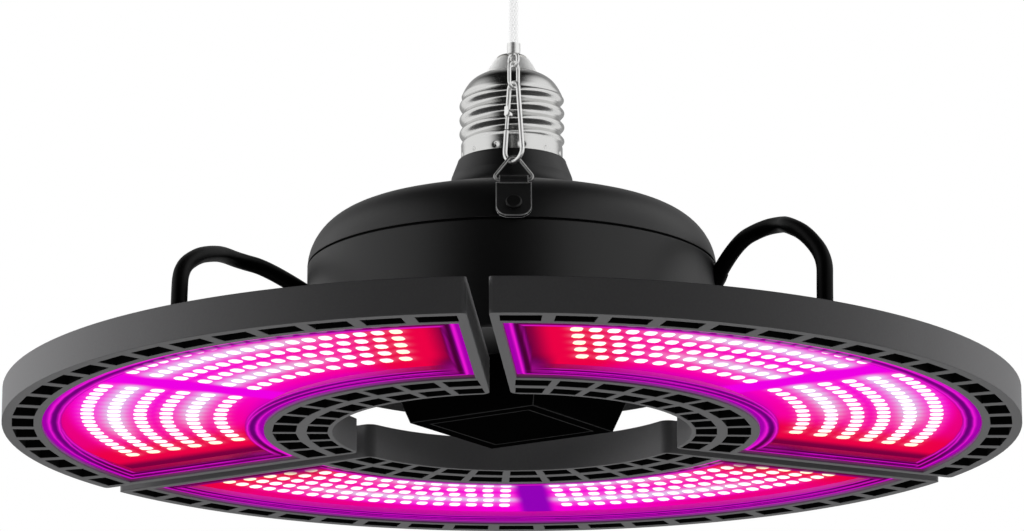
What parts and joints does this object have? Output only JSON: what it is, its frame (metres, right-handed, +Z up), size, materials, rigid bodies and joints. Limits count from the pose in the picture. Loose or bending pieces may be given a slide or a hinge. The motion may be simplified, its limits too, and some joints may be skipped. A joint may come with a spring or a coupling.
{
  "type": "foldable grow light",
  "caption": "Screw-in grow light: hinged ring-sector lamp panels fold up round a domed driver housing, with arched leads and a safety rope on a snap hook.",
  "frame": {"origin": "middle of the housing neck's top face, where the screw cap is seated", "axes": "+Z up through the screw cap to its contact, -Y to the front, where the hanger strap is"},
  "size_m": [0.25, 0.2499, 0.1285],
  "materials": {
    "cast_frame": "dark grey powder coat on die-cast alloy",
    "lens": "clear, smooth",
    "seal": "matt",
    "lamp_board": "glowing magenta behind the lens",
    "hinge": "black, satin",
    "screw": "plain steel",
    "gland": "black, matt",
    "housing": "black, fine matt texture",
    "hub": "black, satin",
    "cap_shell": "bright nickel plate",
    "cap_insulator": "pale grey, glazed",
    "cap_contact": "tinned",
    "circuit_board": "green solder mask",
    "coil": "yellow tape",
    "can": "plain can",
    "lead": "black, smooth",
    "boot": "black, matt",
    "strap": "black, satin",
    "dark_screw": "black oxide",
    "nickel": "bright nickel plate",
    "rope": "fine strands under a clear coat"
  },
  "bodies": {
    "driver": {"bracket_screws": "screw", "cap_insulator": "cap_insulator", "centre_contact": "cap_contact", "driver_board": "circuit_board", "driver_capacitors": "can", "driver_coil": "coil", "hanger_strap": "strap", "hub_box": "hub", "hub_cover": "hub", "left_hinge_bracket": "hinge", "left_lead": "lead", "left_lead_boot": "boot", "lower_housing": "housing", "rear_hinge_bracket": "hinge", "rear_lead": "lead", "rear_lead_boot": "boot", "right_hinge_bracket": "hinge", "right_lead": "lead", "right_lead_boot": "boot", "screw_shell": "cap_shell", "seam_seal": "seal", "strap_screw": "dark_screw", "upper_housing": "housing"},
    "right_panel": {"right_panel_frame": "cast_frame", "right_lens": "lens", "right_lens_seal": "seal", "right_lamp_board": "lamp_board", "right_hinge_leaf": "hinge", "right_leaf_screws": "screw", "right_hinge_pin": "screw", "right_gland": "gland"},
    "rear_panel": {"rear_panel_frame": "cast_frame", "rear_lens": "lens", "rear_lens_seal": "seal", "rear_lamp_board": "lamp_board", "rear_hinge_leaf": "hinge", "rear_leaf_screws": "screw", "rear_hinge_pin": "screw", "rear_gland": "gland"},
    "left_panel": {"left_panel_frame": "cast_frame", "left_lens": "lens", "left_lens_seal": "seal", "left_lamp_board": "lamp_board", "left_hinge_leaf": "hinge", "left_leaf_screws": "screw", "left_hinge_pin": "screw", "left_gland": "gland"},
    "hanger_ring": {"hanger_ring": "strap"},
    "snap_hook": {"snap_hook": "nickel"},
    "hook_gate": {"hook_gate": "nickel"},
    "safety_rope": {"chain_link": "nickel", "rope_ferrule": "nickel", "safety_rope": "rope", "rope_eye": "nickel"}
  },
  "joints": [
    {"name": "right_panel_fold", "type": "hinge", "parent": "driver", "child": "right_panel", "pos_m": [0.05023, -0.029, -0.05795], "axis": [-0.5, -0.866, 0], "range_deg": [0, 60], "deforming": ["right_lead"]},
    {"name": "rear_panel_fold", "type": "hinge", "parent": "driver", "child": "rear_panel", "pos_m": [0, 0.058, -0.05795], "axis": [1, 0, 0], "range_deg": [0, 60], "deforming": ["rear_lead"]},
    {"name": "left_panel_fold", "type": "hinge", "parent": "driver", "child": "left_panel", "pos_m": [-0.05023, -0.029, -0.05795], "axis": [-0.5, 0.866, 0], "range_deg": [0, 60], "deforming": ["left_lead"]},
    {"name": "ring_swing", "type": "hinge", "parent": "driver", "child": "hanger_ring", "pos_m": [0.00335, -0.04787, -0.01808], "axis": [0.9976, 0.0698, 0], "range_deg": [-10, 60]},
    {"name": "hook_swing", "type": "hinge", "parent": "hanger_ring", "child": "snap_hook", "pos_m": [0.00335, -0.04787, -0.01222], "axis": [0.9976, 0.0698, 0], "range_deg": [-10, 10]},
    {"name": "gate_open", "type": "hinge", "parent": "snap_hook", "child": "hook_gate", "pos_m": [0.0018, -0.04652, -0.00121], "axis": [-0.6561, -0.7547, 0], "range_deg": [0, 20], "stiffness_Nm_per_rad": 0.002},
    {"name": "rope_swing", "type": "hinge", "parent": "snap_hook", "child": "safety_rope", "pos_m": [0.00335, -0.04787, 0.00623], "axis": [0.7547, -0.6561, 0], "range_deg": [-10, 10]}
  ]
}
